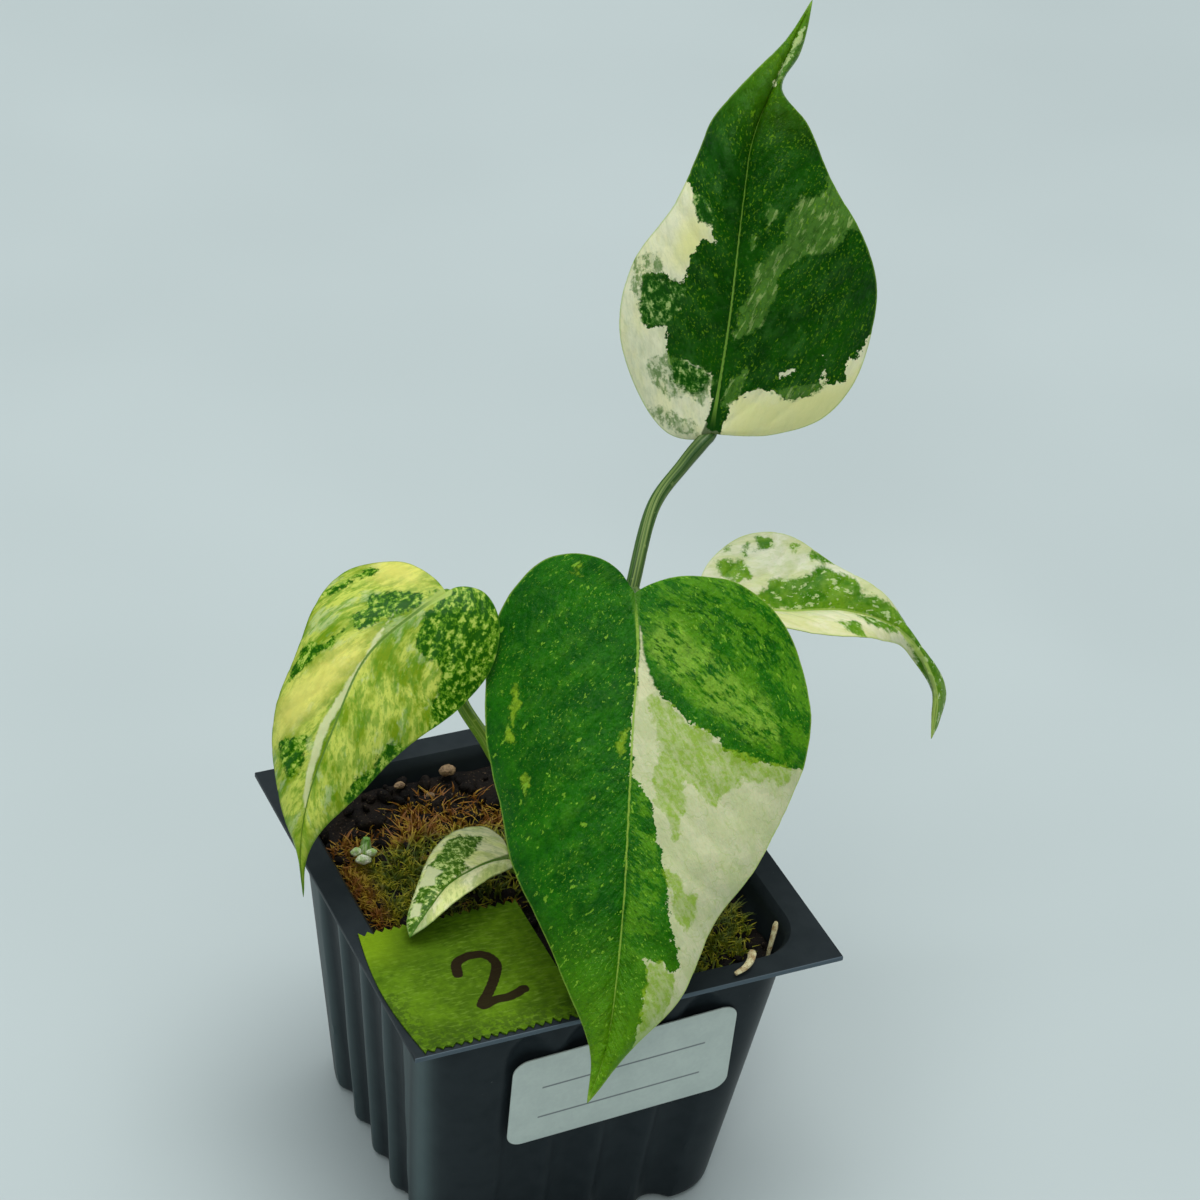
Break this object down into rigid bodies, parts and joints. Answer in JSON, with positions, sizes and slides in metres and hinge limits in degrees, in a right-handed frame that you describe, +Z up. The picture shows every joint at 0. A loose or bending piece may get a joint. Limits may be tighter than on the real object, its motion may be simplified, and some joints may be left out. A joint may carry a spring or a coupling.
{
  "type": "potted variegated monstera",
  "caption": "Young variegated heart-leaved climbing aroid growing in a small square fluted nursery pot, with a strip of tape over one corner and a blank sticker.",
  "frame": {"origin": "middle of the pot's base, on the surface that the pot stands on", "axes": "+Z up, -Y out of the pot's stickered face, +X to its right as seen from that side"},
  "size_m": [0.1015, 0.078, 0.1627],
  "materials": {
    "pot": "charcoal-black thermoformed plastic, satin with a soft sheen",
    "growing_mix": "dark damp bark and peat mix under olive and rust moss",
    "leaf_blade": "glossy leaf, dark green with cream and lime variegation",
    "leaf_stalk": "smooth olive-green stalk with pale streaks",
    "perlite": "pale crumbly mineral grain",
    "husk": "dry cream husk",
    "tape": "yellow-green creped paper tape",
    "sticker": "white satin paper sticker"
  },
  "bodies": {
    "root": {"pot": "pot", "growing_mix": "growing_mix", "stem": "leaf_stalk", "shoot": "leaf_stalk", "stalk_upper": "leaf_stalk", "leaf_upper": "leaf_blade", "stalk_central": "leaf_stalk", "leaf_central": "leaf_blade", "stalk_left": "leaf_stalk", "leaf_left": "leaf_blade", "stalk_right": "leaf_stalk", "leaf_right": "leaf_blade", "stalk_small": "leaf_stalk", "leaf_small": "leaf_blade", "perlite_1": "perlite", "perlite_2": "perlite", "perlite_3": "perlite", "husk": "husk", "tape": "tape", "sticker": "sticker"}
  },
  "joints": []
}
